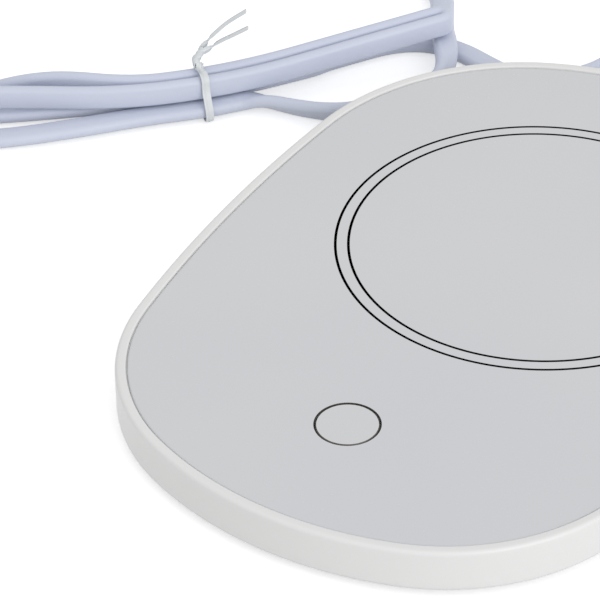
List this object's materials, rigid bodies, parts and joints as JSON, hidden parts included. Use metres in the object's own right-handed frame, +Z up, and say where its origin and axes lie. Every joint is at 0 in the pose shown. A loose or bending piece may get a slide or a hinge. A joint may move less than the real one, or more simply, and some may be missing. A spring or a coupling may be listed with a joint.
{
  "type": "electric mug warmer",
  "caption": "Slim egg-shaped electric mug warmer: flat warming plate with printed ring, flush push button at the front, flat mains lead folded in a tied hank with a two-blade plug.",
  "frame": {"origin": "middle of the box of the body, without the free lead, on the table under the feet", "axes": "+Y to the back, where the lead leaves; the button is at the front, towards -Y; +Z up; +X to the right seen from the front"},
  "size_m": [0.2615, 0.2055, 0.0223],
  "materials": {
    "housing_plastic": "satin, off-white",
    "foot_rubber": "matte grey",
    "screw_steel": "zinc plated",
    "plate_coating": "satin light grey coating",
    "gasket_silicone": "soft silicone",
    "print_ink": "black ink",
    "spreader_aluminium": "rolled sheet",
    "heater_film": "amber film",
    "pad_fibre": "pressed fibre",
    "clamp_steel": "zinc plated sheet",
    "fuse_ceramic": "glazed tube",
    "sensor_glass": "resin bead",
    "board_laminate": "green solder mask",
    "chip_resin": "black resin",
    "capacitor_case": "yellow case",
    "led_body": "white body",
    "switch_black": "black",
    "plunger_plastic": "natural",
    "button_plastic": "satin light grey",
    "guide_plastic": "black",
    "lead_jacket": "smooth, pale bluish grey",
    "wire_jacket": "smooth",
    "heater_wire_jacket": "glass-fibre sleeve",
    "tie_strip": "pale strip over wire",
    "blade_metal": "nickel plated"
  },
  "bodies": {
    "body": {"housing": "housing_plastic", "base_cover": "housing_plastic", "rubber_feet": "foot_rubber", "base_screws": "screw_steel", "top_plate": "plate_coating", "plate_gasket": "gasket_silicone", "ring_print": "print_ink", "heat_spreader": "spreader_aluminium", "heating_element": "heater_film", "insulation_pad": "pad_fibre", "clamp_plate": "clamp_steel", "clamp_plate_screws": "screw_steel", "thermal_fuse": "fuse_ceramic", "temperature_sensor": "sensor_glass", "control_board": "board_laminate", "board_screws": "screw_steel", "board_chips": "chip_resin", "film_capacitor": "capacitor_case", "status_led": "led_body", "switch_body": "switch_black", "button_guide": "guide_plastic", "cord_clamp": "guide_plastic", "cord_clamp_screws": "screw_steel", "inner_cord": "lead_jacket", "mains_wires": "wire_jacket", "heater_wires": "heater_wire_jacket", "strain_relief": "lead_jacket", "cord_lead": "lead_jacket", "cord_hank": "lead_jacket", "plug_lead": "lead_jacket", "twist_tie": "tie_strip", "plug_body": "lead_jacket", "plug_blades": "blade_metal"},
    "button": {"button_cap": "button_plastic", "switch_plunger": "plunger_plastic"}
  },
  "joints": [
    {"name": "button_press", "type": "slide", "parent": "body", "child": "button", "axis": [0, 0, -1], "range_m": [0, 0.0005], "stiffness_N_per_m": 1500}
  ]
}
